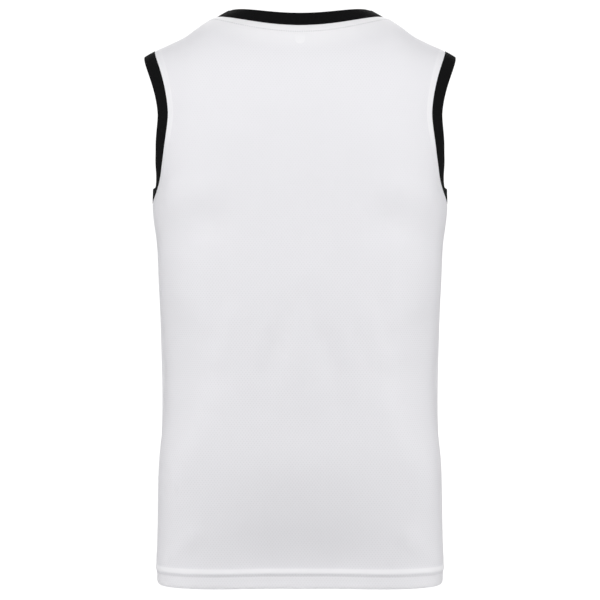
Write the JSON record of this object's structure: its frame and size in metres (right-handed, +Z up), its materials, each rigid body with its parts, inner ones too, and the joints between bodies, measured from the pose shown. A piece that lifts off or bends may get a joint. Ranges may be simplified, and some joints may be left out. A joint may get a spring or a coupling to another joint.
{
  "type": "sleeveless basketball jersey",
  "caption": "Sleeveless sports jersey in fine mesh with rib knit bands at the neck and armholes, filled out and hollow, worn loose on the upper body.",
  "frame": {"origin": "midway between the two high shoulder points, where the wearer's shoulders carry the jersey", "axes": "+Z up, along the body from the hem to the neck; -Y the front of the jersey; +X its wearer's left"},
  "size_m": [0.4032, 0.2455, 0.7413],
  "materials": {
    "back_mesh": "white polyester birdseye mesh, soft sheen",
    "front_mesh": "white polyester birdseye mesh, soft sheen",
    "neckband_rib": "black rib knit, matte",
    "armband_left_rib": "black rib knit, matte",
    "armband_right_rib": "black rib knit, matte",
    "label_satin": "white woven satin ribbon, blank"
  },
  "bodies": {
    "root": {"back": "back_mesh", "front": "front_mesh", "neckband": "neckband_rib", "armband_left": "armband_left_rib", "armband_right": "armband_right_rib", "neck_label": "label_satin"}
  },
  "joints": []
}
